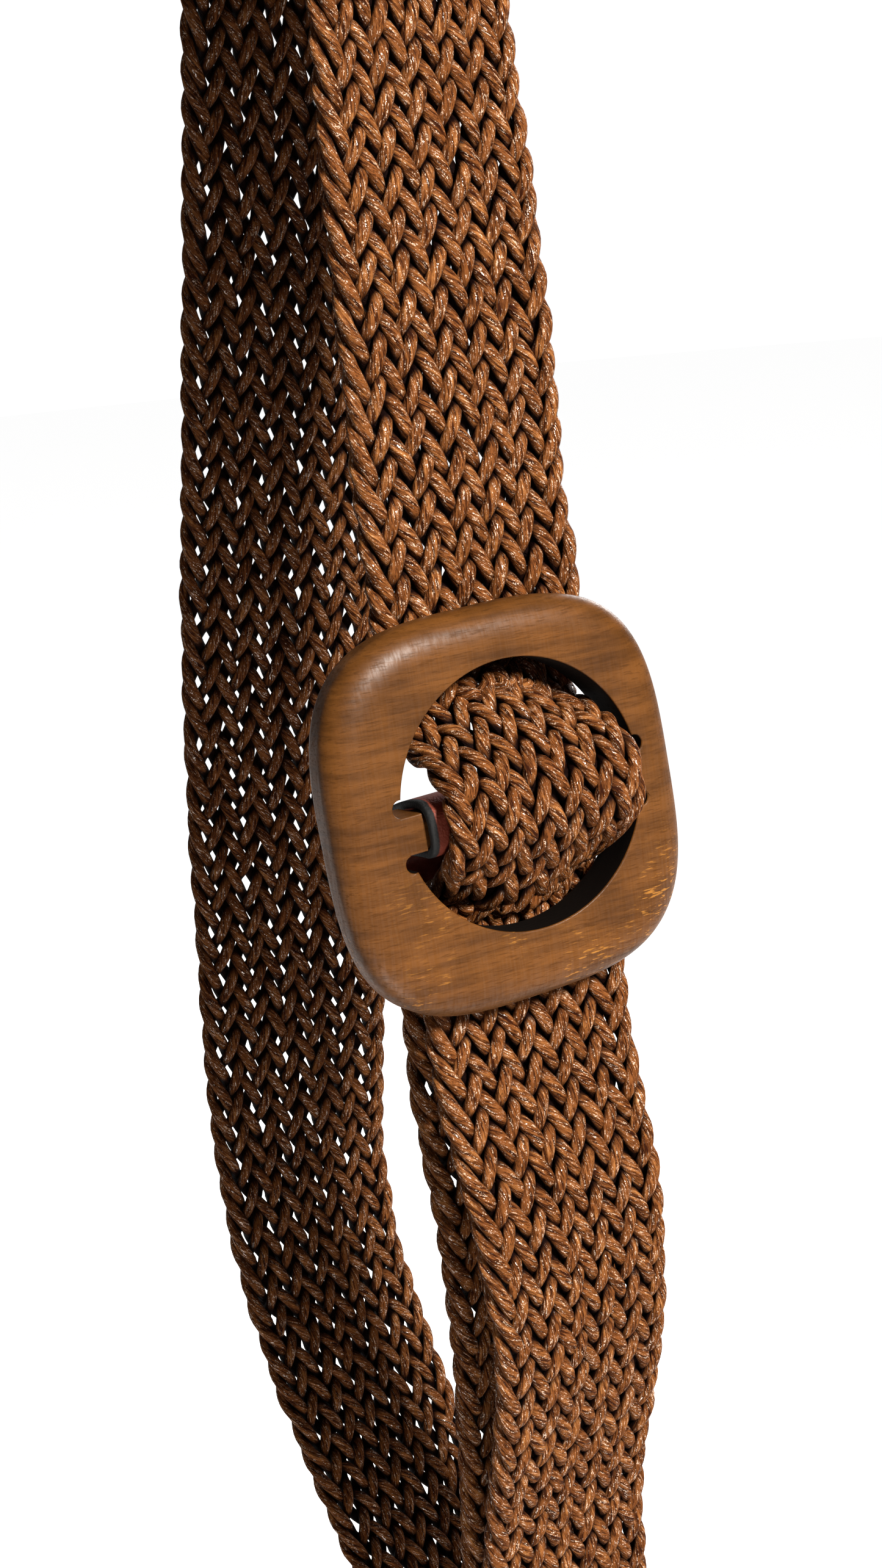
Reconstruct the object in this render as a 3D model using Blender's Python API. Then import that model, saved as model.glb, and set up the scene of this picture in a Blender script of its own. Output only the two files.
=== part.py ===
"""Braided rope belt with a wooden slide buckle, hanging as a fastened loop.

The strap is one flat braid of waxed cord. Its fixed end is held behind the buckle's bar by a
folded leather tab. From there it runs down, turns up at the loop's bottom, climbs the back
stretch, passes over the hanging point, comes down the front, goes behind the buckle's top,
over the leather on the bar, behind the buckle's bottom, and hangs free as the tail.

Frame: X along the strap's width, -Y towards the buckle's face, +Z up. The origin is the point
on the loop's inner face where the belt hangs.
"""
import math

import bmesh
import bpy
import numpy as np
from mathutils import Matrix

# Strap sizes, in metres
strap_width = 0.045
strap_thickness = 0.0049
rib_count = 12
rib_height = 0.0005
edge_round = 0.0012

# Loop sizes: top to bottom and front to back, both to the strap's middle
loop_height = 0.440
loop_depth = 0.098

# Buckle sizes: a rounded square ring with a round opening a little off its middle
buckle_width = 0.074
buckle_height = 0.0755
buckle_thickness = 0.0095
buckle_squareness = 3.3
front_round = 0.0044
front_round_reach = 0.0068
back_round = 0.0022
opening_radius = 0.0259
opening_side = 0.0022
opening_up = 0.0016
bar_height = 0.0072
bar_depth = 0.0072
bar_round = 0.0022
notch_radius = 0.0017

# Buckle place: forward of the hanging point, down a share of the loop's height, leaning back
# and turned a little
buckle_forward = 0.038
buckle_share = 0.475
buckle_drop = buckle_share * loop_height
buckle_lean = math.radians(6.0)
buckle_turn = math.radians(2.6)

# Leather tab sizes
tab_width = 0.0428
leather_thickness = 0.0016
tab_reach = 0.0270
layer_room = 0.0016
fold_depth = 0.0030
outer_ease = 0.0006
end_setback = 0.0020

# The inner ply's rise to the bar. Columns: up and out, as shares of its drop below the bar
rise_rows = ((-1.0, 0.0), (0.0, 0.15), (0.62, 0.8))

# The leather under and behind the bar, as shares of its drop and of its bend round the bar
under_tuck = 0.1
under_sag = 0.6
behind_sag = 0.3

# Clearance between pieces that touch
clearance = 0.0003

# The planed stretch's cutter: how many times the bar's section its outside is
sleeve_growth = 2.0

# Steps that set how fine the faceted solids are
ring_segments = 48
round_steps = 4
opening_steps = 26
notch_steps = 8
sections_per_row = 2

half_strap = strap_thickness / 2
half_buckle = buckle_thickness / 2
half_leather = leather_thickness / 2

# Strap layers that lie against the buckle, measured out of its middle plane
behind_ring = -(half_buckle + clearance + half_strap)
over_bar = half_buckle + 2 * clearance + leather_thickness + half_strap
end_layer = behind_ring - strap_thickness - 2 * clearance - leather_thickness - layer_room


# Columns: back (share of loop_depth), drop (share of loop_height), side (share of strap_width),
# twist (degrees about the vertical)
lower_rows = (
    (-0.265, 0.600, 0.07, 0.0),
    (-0.270, 0.672, 0.10, 6.0),
    (-0.230, 0.786, 0.12, 11.5),
    (-0.178, 0.888, 0.11, 11.4),
    (-0.140, 0.952, 0.10, 11.0),
    (-0.100, 0.984, 0.09, 12.0),
    (-0.005, 1.000, 0.08, 13.0),
    (0.100, 0.985, 0.07, 15.0),
    (0.207, 0.951, 0.05, 16.0),
)

back_rows = (
    (0.480, 0.849, -0.06, 12.5),
    (0.617, 0.746, -0.14, 8.5),
    (0.612, 0.634, -0.11, -4.5),
    (0.573, 0.480, -0.05, -7.0),
    (0.452, 0.327, 0.01, -4.5),
    (0.306, 0.174, 0.06, -1.0),
    (0.228, 0.072, 0.09, 1.5),
)

top_rows = (
    (0.178, 0.032, 0.10, 3.0),
    (0.088, 0.007, 0.11, 4.0),
    (0.000, 0.000, 0.12, 5.0),
    (-0.085, 0.007, 0.12, 7.0),
    (-0.155, 0.032, 0.12, 9.0),
)

front_rows = (
    (-0.187, 0.072, 0.12, 12.0),
    (-0.211, 0.174, 0.11, 7.5),
    (-0.242, 0.286, 0.10, 1.0),
)

# Columns: up (share of the opening's radius), depth (share of the way from behind the ring
# to over the bar), crown (share of strap_thickness), width (share of strap_width),
# side (share of strap_width)
weave_rows = (
    (1.80, -0.02, 0.0, 1.00, 0.10),
    (1.05, -0.02, 0.3, 0.98, 0.08),
    (0.93, 0.03, 0.7, 0.96, 0.07),
    (0.78, 0.18, 1.1, 0.94, 0.07),
    (0.60, 0.38, 1.4, 0.90, 0.06),
    (0.44, 0.65, 0.9, 0.90, 0.07),
    (0.30, 0.86, 0.3, 0.92, 0.08),
    (0.17, 0.97, 0.0, 0.93, 0.09),
    (0.07, 1.01, 0.0, 0.94, 0.09),
    (-0.19, 1.00, 0.0, 0.94, 0.09),
    (-0.325, 0.89, 0.2, 0.93, 0.085),
    (-0.44, 0.75, 0.6, 0.91, 0.08),
    (-0.56, 0.57, 1.1, 0.875, 0.06),
    (-0.66, 0.40, 1.4, 0.875, 0.06),
    (-0.78, 0.24, 1.05, 0.92, 0.065),
    (-0.93, 0.03, 0.4, 0.96, 0.065),
    (-1.06, -0.03, 0.1, 0.98, 0.065),
    (-1.30, -0.01, 0.0, 0.99, 0.07),
)

tail_rows = (
    (-0.362, 0.597, 0.08, 0.5),
    (-0.418, 0.654, 0.10, 4.5),
    (-0.437, 0.714, 0.12, 9.5),
    (-0.374, 0.783, 0.12, 12.0),
    (-0.306, 0.838, 0.11, 12.0),
    (-0.282, 0.889, 0.11, 11.5),
    (-0.273, 0.921, 0.10, 11.0),
)


def buckle_axes():
    """The buckle's own directions: right along the bar, up, and out of its face."""
    up = np.array((0.0, math.sin(buckle_lean), math.cos(buckle_lean)))
    out = np.array((0.0, -math.cos(buckle_lean), math.sin(buckle_lean)))
    right = np.array((1.0, 0.0, 0.0))
    cosine = math.cos(buckle_turn)
    sine = math.sin(buckle_turn)
    return right * cosine + up * sine, up * cosine - right * sine, out


def buckle_middle():
    return np.array((0.0, -buckle_forward, -buckle_drop))


def hung_row(row):
    """A route row of the free loop: place, twist, turn, width share and crown."""
    back, drop, side, twist = row
    place = (side * strap_width, back * loop_depth, half_strap - drop * loop_height)
    return place + (math.radians(twist), 0.0, 1.0, 0.0)


def near_buckle(side, up, out, width, crown):
    """A route row near the buckle, from heights along its lean and out of its face."""
    height = up * math.cos(buckle_lean) + out * math.sin(buckle_lean) - buckle_drop
    back = up * math.sin(buckle_lean) - out * math.cos(buckle_lean) - buckle_forward
    return (side * strap_width, back, height, 0.0, buckle_turn, width, crown * strap_thickness)


def weave_row(row):
    up, depth, crown, width, side = row
    out = behind_ring + depth * (over_bar - behind_ring) - crown * strap_thickness
    return near_buckle(side, opening_up + up * opening_radius, out, width, crown)


# The fixed end lies straight between the tab's two plies
end_start = -(bar_height / 2 + clearance + leather_thickness + fold_depth)
end_stop = end_start - tab_reach


def end_rows():
    middle = (end_start + end_stop) / 2
    return [near_buckle(0.06, up, end_layer, 0.97, 0.0) for up in (end_start, middle, end_stop)]


def smooth_through(rows, steps):
    """A natural cubic spline through the rows, read at equal steps between each two."""
    rows = np.array(rows)
    gaps = np.linalg.norm(np.diff(rows[:, :3], axis=0), axis=1)
    knots = np.concatenate(([0.0], np.cumsum(gaps)))
    count = len(rows)
    matrix = np.eye(count)
    change = np.zeros_like(rows)
    slopes = np.diff(rows, axis=0) / gaps[:, None]
    for index in range(1, count - 1):
        matrix[index, index - 1] = gaps[index - 1]
        matrix[index, index] = 2 * (gaps[index - 1] + gaps[index])
        matrix[index, index + 1] = gaps[index]
        change[index] = 6 * (slopes[index] - slopes[index - 1])
    bend = np.linalg.solve(matrix, change)
    share = np.arange(steps) / steps
    reads = np.concatenate([knots[i] + share * gaps[i] for i in range(count - 1)] + [knots[-1:]])
    cell = np.clip(np.searchsorted(knots, reads, side="right") - 1, 0, count - 2)
    span = gaps[cell][:, None]
    right = (reads - knots[cell])[:, None]
    left = span - right
    curve = (bend[cell] * left ** 3 + bend[cell + 1] * right ** 3) / (6 * span)
    curve += (rows[cell] / span - bend[cell] * span / 6) * left
    curve += (rows[cell + 1] / span - bend[cell + 1] * span / 6) * right
    return curve


def strap_route(steps):
    """The strap's middle line from its fixed end to its free end, with its directions."""
    rows = end_rows()
    rows += [hung_row(row) for row in lower_rows + back_rows + top_rows + front_rows]
    rows += [weave_row(row) for row in weave_rows]
    rows += [hung_row(row) for row in tail_rows]
    line = smooth_through(rows, steps)
    along = np.gradient(line[:, :3], axis=0)
    along /= np.linalg.norm(along, axis=1)[:, None]
    twist = line[:, 3]
    across = np.stack([np.cos(twist), np.sin(twist), np.zeros_like(twist)], axis=1)
    across -= (across * along).sum(axis=1)[:, None] * along
    across += np.sin(line[:, 4])[:, None] * np.array((0.0, 0.0, 1.0))
    across /= np.linalg.norm(across, axis=1)[:, None]
    outward = np.cross(along, across)
    outward /= np.linalg.norm(outward, axis=1)[:, None]
    return line[:, :3], across, outward, line[:, 5], line[:, 6]


def strap_section():
    """Width and thickness places round the ribbed section, as shares of half the width."""
    ribs = np.arange(2 * rib_count + 1) / rib_count - 1.0
    crest = np.arange(2 * rib_count + 1) % 2
    rise = half_strap - rib_height * (1 - crest)
    rise[0] = half_strap - edge_round
    rise[-1] = half_strap - edge_round
    return ribs, rise


def material(name, colour, roughness):
    made = bpy.data.materials.new(name)
    made.use_nodes = True
    shader = made.node_tree.nodes["Principled BSDF"]
    shader.inputs["Base Color"].default_value = (*colour, 1.0)
    shader.inputs["Roughness"].default_value = roughness
    shader.inputs["Metallic"].default_value = 0.0
    return made


def add_object(name, mesh, made):
    mesh.materials.append(made)
    mesh.shade_smooth()
    mesh.set_sharp_from_angle(angle=math.radians(40))
    piece = bpy.data.objects.new(name, mesh)
    bpy.context.collection.objects.link(piece)
    return piece


def make_strap():
    place, across, outward, width, crown = strap_route(sections_per_row)
    ribs, rise = strap_section()
    section_w = np.concatenate([ribs, ribs[::-1]])
    section_h = np.concatenate([rise, -rise[::-1]])
    bell = np.cos(section_w * math.pi / 2) ** 2
    mesh = bmesh.new()
    rings = []
    for index in range(len(place)):
        sideways = section_w * strap_width / 2 * width[index]
        lift = section_h + crown[index] * bell
        ring = place[index] + sideways[:, None] * across[index] + lift[:, None] * outward[index]
        rings.append([mesh.verts.new(point) for point in ring])
    count = len(section_w)
    for first, second in zip(rings, rings[1:]):
        for step in range(count):
            other = (step + 1) % count
            mesh.faces.new((first[step], first[other], second[other], second[step]))
    mesh.faces.new(rings[0][::-1])
    mesh.faces.new(rings[-1])
    bmesh.ops.recalc_face_normals(mesh, faces=mesh.faces)
    data = bpy.data.meshes.new("braided_strap")
    mesh.to_mesh(data)
    mesh.free()
    return add_object("braided_strap", data, material("waxed_cord", (0.22, 0.10, 0.045), 0.62))


def rounded_square(inset, depth):
    """One ring of the buckle's outline, pulled in by the inset, at a depth."""
    turn = np.arange(ring_segments) * 2 * math.pi / ring_segments
    cosine = np.cos(turn)
    sine = np.sin(turn)
    power = buckle_squareness
    reach = (np.abs(cosine) ** power + np.abs(sine) ** power) ** (-1 / power)
    flat = np.stack([cosine * reach * (buckle_width / 2 - inset),
                     sine * reach * (buckle_height / 2 - inset)], axis=1)
    return [(x, y, depth) for x, y in flat]


def buckle_body():
    """The solid rounded square, before its openings are cut: rings from back to front."""
    levels = []
    for step in range(round_steps + 1):
        angle = step / round_steps * math.pi / 2
        levels.append((back_round * (1 - math.sin(angle)),
                       -half_buckle + back_round * (1 - math.cos(angle))))
    for step in range(round_steps + 1):
        angle = (1 - step / round_steps) * math.pi / 2
        levels.append((front_round_reach * (1 - math.sin(angle)),
                       half_buckle - front_round * (1 - math.cos(angle))))
    mesh = bmesh.new()
    rings = [[mesh.verts.new(point) for point in rounded_square(*level)] for level in levels]
    for first, second in zip(rings, rings[1:]):
        for step in range(ring_segments):
            other = (step + 1) % ring_segments
            mesh.faces.new((first[step], first[other], second[other], second[step]))
    mesh.faces.new(rings[0][::-1])
    mesh.faces.new(rings[-1])
    data = bpy.data.meshes.new("buckle")
    mesh.to_mesh(data)
    mesh.free()
    return data


def arc(centre, radius, start, stop, steps):
    turn = np.linspace(start, stop, steps)
    return [(centre[0] + radius * math.cos(a), centre[1] + radius * math.sin(a)) for a in turn]


def opening_outline(sign):
    """Half of the round opening, above or below the bar, with a round notch at each root."""
    edge = sign * bar_height / 2 - opening_up
    low = math.asin((edge + sign * 2 * notch_radius) / opening_radius * sign)
    outline = arc((0, 0), opening_radius, low, math.pi - low, opening_steps)
    reach = math.sqrt(opening_radius ** 2 - (edge + sign * notch_radius) ** 2)
    outline = [(x, sign * y) for x, y in outline]
    left = arc((-reach, edge + sign * notch_radius), notch_radius,
               sign * math.pi / 2, sign * math.pi * 3 / 2, notch_steps)
    right = arc((reach, edge + sign * notch_radius), notch_radius,
                -sign * math.pi / 2, sign * math.pi / 2, notch_steps)
    outline += left + right
    return [(x + opening_side, y + opening_up) for x, y in outline]


def cutter_object(name, mesh):
    data = bpy.data.meshes.new(name)
    mesh.to_mesh(data)
    mesh.free()
    piece = bpy.data.objects.new(name, data)
    bpy.context.collection.objects.link(piece)
    piece.hide_render = True
    piece.display_type = "WIRE"
    return piece


def prism(name, outline, low, high):
    mesh = bmesh.new()
    bottom = [mesh.verts.new((x, y, low)) for x, y in outline]
    top = [mesh.verts.new((x, y, high)) for x, y in outline]
    count = len(outline)
    for step in range(count):
        other = (step + 1) % count
        mesh.faces.new((bottom[step], bottom[other], top[other], top[step]))
    mesh.faces.new(bottom[::-1])
    mesh.faces.new(top)
    bmesh.ops.recalc_face_normals(mesh, faces=mesh.faces)
    return cutter_object(name, mesh)


def bar_sleeve():
    """What is planed off round the bar where the tab wraps it: a thick sleeve along the bar."""
    front = half_buckle
    back = half_buckle - bar_depth
    middle = (front + back) / 2
    corners = ((1, 1, 0.0), (-1, 1, 0.5), (-1, -1, 1.0), (1, -1, 1.5))
    inner = []
    for side, face, start in corners:
        centre = (side * (bar_height / 2 - bar_round), middle + face * (bar_depth / 2 - bar_round))
        inner += arc(centre, bar_round, start * math.pi, (start + 0.5) * math.pi, round_steps + 2)
    outer = [(sleeve_growth * v, middle + sleeve_growth * (n - middle)) for v, n in inner]
    reach = tab_width / 2 + clearance
    mesh = bmesh.new()
    loops = [[mesh.verts.new((opening_side + side * reach, v, n)) for v, n in outline]
             for side in (-1, 1) for outline in (inner, outer)]
    count = len(inner)
    for first, second in ((0, 1), (1, 3), (3, 2), (2, 0)):
        for step in range(count):
            other = (step + 1) % count
            mesh.faces.new((loops[first][step], loops[first][other],
                            loops[second][other], loops[second][step]))
    bmesh.ops.recalc_face_normals(mesh, faces=mesh.faces)
    return cutter_object("cut_sleeve", mesh)


def place_on_buckle(piece, parent):
    piece.parent = parent


def make_buckle(parent):
    piece = add_object("buckle", buckle_body(), material("oiled_wood", (0.27, 0.13, 0.05), 0.38))
    cutters = [prism("cut_upper", opening_outline(1), -buckle_thickness, buckle_thickness),
               prism("cut_lower", opening_outline(-1), -buckle_thickness, buckle_thickness),
               bar_sleeve()]
    for cutter in cutters:
        cut = piece.modifiers.new(cutter.name, "BOOLEAN")
        cut.operation = "DIFFERENCE"
        cut.object = cutter
        place_on_buckle(cutter, parent)
    place_on_buckle(piece, parent)
    return piece


def tab_profile():
    """The leather's middle line round the bar, from the inner ply's end to the outer ply's."""
    offset = half_strap + clearance + half_leather
    inner = end_layer + offset
    outer = end_layer - offset
    skin = clearance + half_leather
    front = half_buckle + skin
    back = half_buckle - bar_depth - skin
    side = bar_height / 2 + skin
    bend = bar_round + skin
    low = end_stop + end_setback
    drop = -side - end_start
    points = [(low, inner), ((low + end_start) / 2, inner)]
    points += [(end_start + up * drop, inner + out * drop) for up, out in rise_rows]
    points += [(-side - under_tuck * drop, back - under_sag * bend), (-side, (front + back) / 2)]
    turn = np.linspace(-math.pi / 2, 0.0, round_steps + 1)
    points += [(-side + bend + bend * math.sin(a), front - bend + bend * math.cos(a)) for a in turn]
    points += [(side - bend + bend * math.sin(-a), front - bend + bend * math.cos(a)) for a in turn[::-1]]
    points += [(side, (front + back) / 2), (side - behind_sag * bend, back - under_sag * bend)]
    points += [(0.0, (back - bend + outer) / 2 - behind_sag * bend)]
    points += [(end_start + fold_depth, outer + outer_ease)]
    points += [(end_start - fold_depth, outer), ((low + end_start) / 2, outer), (low, outer)]
    return np.array(points)


def make_tab(parent):
    line = smooth_through(np.column_stack([tab_profile(), np.zeros(len(tab_profile()))]), 2)[:, :2]
    along = np.gradient(line, axis=0)
    along /= np.linalg.norm(along, axis=1)[:, None]
    normal = np.stack([-along[:, 1], along[:, 0]], axis=1) * half_leather
    outline = np.concatenate([line + normal, (line - normal)[::-1]])
    mesh = bmesh.new()
    left = [mesh.verts.new((opening_side - tab_width / 2, v, n)) for v, n in outline]
    right = [mesh.verts.new((opening_side + tab_width / 2, v, n)) for v, n in outline]
    count = len(outline)
    for step in range(count):
        other = (step + 1) % count
        mesh.faces.new((left[step], left[other], right[other], right[step]))
    mesh.faces.new(left[::-1])
    mesh.faces.new(right)
    bmesh.ops.recalc_face_normals(mesh, faces=mesh.faces)
    data = bpy.data.meshes.new("leather_tab")
    mesh.to_mesh(data)
    mesh.free()
    piece = add_object("leather_tab", data, material("oxblood_leather", (0.20, 0.05, 0.03), 0.45))
    place_on_buckle(piece, parent)
    return piece


def buckle_seat():
    """An empty that carries the buckle and the tab: X along the bar, Y up, Z out of the face."""
    right, up, out = buckle_axes()
    seat = bpy.data.objects.new("buckle_seat", None)
    bpy.context.collection.objects.link(seat)
    middle = buckle_middle()
    rows = [[right[i], up[i], out[i], middle[i]] for i in range(3)] + [[0.0, 0.0, 0.0, 1.0]]
    seat.matrix_world = Matrix(rows)
    return seat


def main():
    for old in list(bpy.data.objects):
        bpy.data.objects.remove(old, do_unlink=True)
    seat = buckle_seat()
    make_buckle(seat)
    make_tab(seat)
    make_strap()


main()
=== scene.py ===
"""Looks of a braided rope belt with a wooden slide buckle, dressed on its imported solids.

The strap is a flat braid of 25 waxed cords, each over two and under two. Its cords are tubes
carried along the strap's own route, the buckle is one turned surface with its bar, and the
leather tab is a strip folded round the bar. Everything is in metres, in the solids' frame.
"""
import math

import bpy
import numpy as np
from bpy.props import FloatProperty, FloatVectorProperty, IntProperty, PointerProperty
from mathutils import Matrix


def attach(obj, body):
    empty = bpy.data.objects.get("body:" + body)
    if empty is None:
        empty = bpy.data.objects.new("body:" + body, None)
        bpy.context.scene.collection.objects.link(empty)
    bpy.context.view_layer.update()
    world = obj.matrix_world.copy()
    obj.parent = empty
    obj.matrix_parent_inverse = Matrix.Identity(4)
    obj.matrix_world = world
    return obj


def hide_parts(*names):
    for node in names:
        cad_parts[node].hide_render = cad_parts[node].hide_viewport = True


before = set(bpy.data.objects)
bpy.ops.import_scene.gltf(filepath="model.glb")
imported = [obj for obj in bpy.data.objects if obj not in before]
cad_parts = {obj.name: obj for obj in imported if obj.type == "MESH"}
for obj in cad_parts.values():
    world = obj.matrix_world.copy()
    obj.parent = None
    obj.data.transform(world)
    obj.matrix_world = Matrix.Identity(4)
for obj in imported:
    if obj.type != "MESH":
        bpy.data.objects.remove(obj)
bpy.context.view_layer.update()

bl_info = {
    "name": "Braided rope belt",
    "version": (1, 0, 0),
    "blender": (4, 5, 0),
    "location": "View3D > Sidebar > Rope belt",
    "description": "Dresses a braided rope belt with its cords, wooden buckle and leather tab",
    "category": "Object",
}

# Strap and loop sizes, the same as the solids'
strap_width = 0.045
strap_thickness = 0.0049
loop_height = 0.440
loop_depth = 0.098
half_strap = strap_thickness / 2

# Buckle sizes, the same as the solids'
buckle_width = 0.074
buckle_height = 0.0755
buckle_thickness = 0.0095
buckle_squareness = 3.3
front_round = 0.0044
front_round_reach = 0.0068
back_round = 0.0022
opening_radius = 0.0259
opening_side = 0.0022
opening_up = 0.0016
bar_height = 0.0072
bar_depth = 0.0072
bar_round = 0.0022
notch_radius = 0.0017
crisp_edge = 0.00035
ring_turn_count = 240
bar_bite = 0.0012
bar_crisp = 0.0003
planed_step = 0.0001
hidden_seam = 0.00002
covered_seam = 0.00001
half_buckle = buckle_thickness / 2
buckle_forward = 0.038
buckle_share = 0.475
buckle_drop = buckle_share * loop_height
buckle_lean = math.radians(6.0)
buckle_turn = math.radians(2.6)

# Leather tab sizes, the same as the solid's
tab_width = 0.0428
leather_thickness = 0.0016
tab_reach = 0.0270
layer_room = 0.0016
fold_depth = 0.0030
outer_ease = 0.0006
end_setback = 0.0020
rise_rows = ((-1.0, 0.0), (0.0, 0.15), (0.62, 0.8))
under_tuck = 0.1
under_sag = 0.6
behind_sag = 0.3
clearance = 0.0003
half_leather = leather_thickness / 2

# Leather's black paint, which runs a little way in from the cut edge, and the edge's rounding
paint_from = 0.0014
paint_full = 0.0010
edge_round = 0.0006
face_columns = 15

# Strap layers that lie against the buckle, measured out of its middle plane
behind_ring = -(half_buckle + clearance + half_strap)
over_bar = half_buckle + 2 * clearance + leather_thickness + half_strap
end_layer = behind_ring - strap_thickness - 2 * clearance - leather_thickness - layer_room
end_start = -(bar_height / 2 + clearance + leather_thickness + fold_depth)
end_stop = end_start - tab_reach

# Columns: back (share of loop_depth), drop (share of loop_height), side (share of strap_width),
# twist (degrees about the vertical)
lower_rows = (
    (-0.265, 0.600, 0.07, 0.0),
    (-0.270, 0.672, 0.10, 6.0),
    (-0.230, 0.786, 0.12, 11.5),
    (-0.178, 0.888, 0.11, 11.4),
    (-0.140, 0.952, 0.10, 11.0),
    (-0.100, 0.984, 0.09, 12.0),
    (-0.005, 1.000, 0.08, 13.0),
    (0.100, 0.985, 0.07, 15.0),
    (0.207, 0.951, 0.05, 16.0),
)
back_rows = (
    (0.480, 0.849, -0.06, 12.5),
    (0.617, 0.746, -0.14, 8.5),
    (0.612, 0.634, -0.11, -4.5),
    (0.573, 0.480, -0.05, -7.0),
    (0.452, 0.327, 0.01, -4.5),
    (0.306, 0.174, 0.06, -1.0),
    (0.228, 0.072, 0.09, 1.5),
)
top_rows = (
    (0.178, 0.032, 0.10, 3.0),
    (0.088, 0.007, 0.11, 4.0),
    (0.000, 0.000, 0.12, 5.0),
    (-0.085, 0.007, 0.12, 7.0),
    (-0.155, 0.032, 0.12, 9.0),
)
front_rows = (
    (-0.187, 0.072, 0.12, 12.0),
    (-0.211, 0.174, 0.11, 7.5),
    (-0.242, 0.286, 0.10, 1.0),
)
# Columns: up (share of the opening's radius), depth (share of the way from behind the ring
# to over the bar), crown (share of strap_thickness), width and side (shares of strap_width)
weave_rows = (
    (1.80, -0.02, 0.0, 1.00, 0.10),
    (1.05, -0.02, 0.3, 0.98, 0.08),
    (0.93, 0.03, 0.7, 0.96, 0.07),
    (0.78, 0.18, 1.1, 0.94, 0.07),
    (0.60, 0.38, 1.4, 0.90, 0.06),
    (0.44, 0.65, 0.9, 0.90, 0.07),
    (0.30, 0.86, 0.3, 0.92, 0.08),
    (0.17, 0.97, 0.0, 0.93, 0.09),
    (0.07, 1.01, 0.0, 0.94, 0.09),
    (-0.19, 1.00, 0.0, 0.94, 0.09),
    (-0.325, 0.89, 0.2, 0.93, 0.085),
    (-0.44, 0.75, 0.6, 0.91, 0.08),
    (-0.56, 0.57, 1.1, 0.875, 0.06),
    (-0.66, 0.40, 1.4, 0.875, 0.06),
    (-0.78, 0.24, 1.05, 0.92, 0.065),
    (-0.93, 0.03, 0.4, 0.96, 0.065),
    (-1.06, -0.03, 0.1, 0.98, 0.065),
    (-1.30, -0.01, 0.0, 0.99, 0.07),
)
tail_rows = (
    (-0.362, 0.597, 0.08, 0.5),
    (-0.418, 0.654, 0.10, 4.5),
    (-0.437, 0.714, 0.12, 9.5),
    (-0.374, 0.783, 0.12, 12.0),
    (-0.306, 0.838, 0.11, 12.0),
    (-0.282, 0.889, 0.11, 11.5),
    (-0.273, 0.921, 0.10, 11.0),
)

# Braid
cord_count = 25
cord_groups = 5
cord_sides = 10
cord_step = 0.00115
edge_band = 0.0028
edge_corner = 1.3
edge_overhang = 0.0002
plies_per_turn = 3.0
lay_per_round = 2.9
stray_spacing = 0.009
stray_out_spacing = 0.007
phase_spacing = 0.012
phase_stray = 0.35

# The back stretch's cords are a little thinner, so that light shows between them: from and to
# how far behind the hanging point this grows, and its share of their size
open_from = 0.004
open_full = 0.016
open_share = 0.13

# Camera: place and direction that show the belt as the photograph does
camera_place = (-0.20626, -0.40697, -0.09346)
camera_azimuth = math.radians(-27.67)
camera_elevation = math.radians(14.67)
camera_roll = math.radians(-5.29)
camera_sensor = 36.0
camera_lens = 53.29

# Columns: name, place, what it faces, size, share of the key light's power, colour
lights = (
    ("front_light", (0.27, -1.17, 0.55), (0.0, 0.0, -0.21), 0.30, 4.3, (1.0, 0.96, 0.90)),
    ("left_light", (-0.20, -0.30, -0.58), (0.0, 0.03, -0.40), 0.15, 0.09, (1.0, 0.97, 0.94)),
    ("low_light", (-0.25, -0.6, -0.8), (0.0, 0.0, -0.21), 0.25, 0.6, (1.0, 0.88, 0.74)),
    ("right_rim", (0.8, 0.5, 0.1), (0.0, 0.0, -0.21), 0.4, 0.7, (1.0, 1.0, 1.0)),
)

# Pale surround: how bright it is to the camera and behind the belt, and the floor's reach
seen_white = 1.05
white_behind = 0.2
floor_radius = 6.0
floor_sides = 96


class StrapSizes(bpy.types.PropertyGroup):
    """Sizes of the braid's cords."""
    cord_width: FloatProperty(
        name="Cord width", description="Width of a cord where it floats on the face",
        default=0.00285, unit="LENGTH")
    cord_thickness: FloatProperty(
        name="Cord thickness", description="Thickness of a cord, pressed a little flat",
        default=0.00225, unit="LENGTH")
    float_spacing: FloatProperty(
        name="Float spacing", description="Distance between two floats along one column",
        default=0.0073, unit="LENGTH")
    unevenness: FloatProperty(
        name="Unevenness", description="How far a cord strays from its even place",
        default=0.00020, unit="LENGTH")


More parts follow.
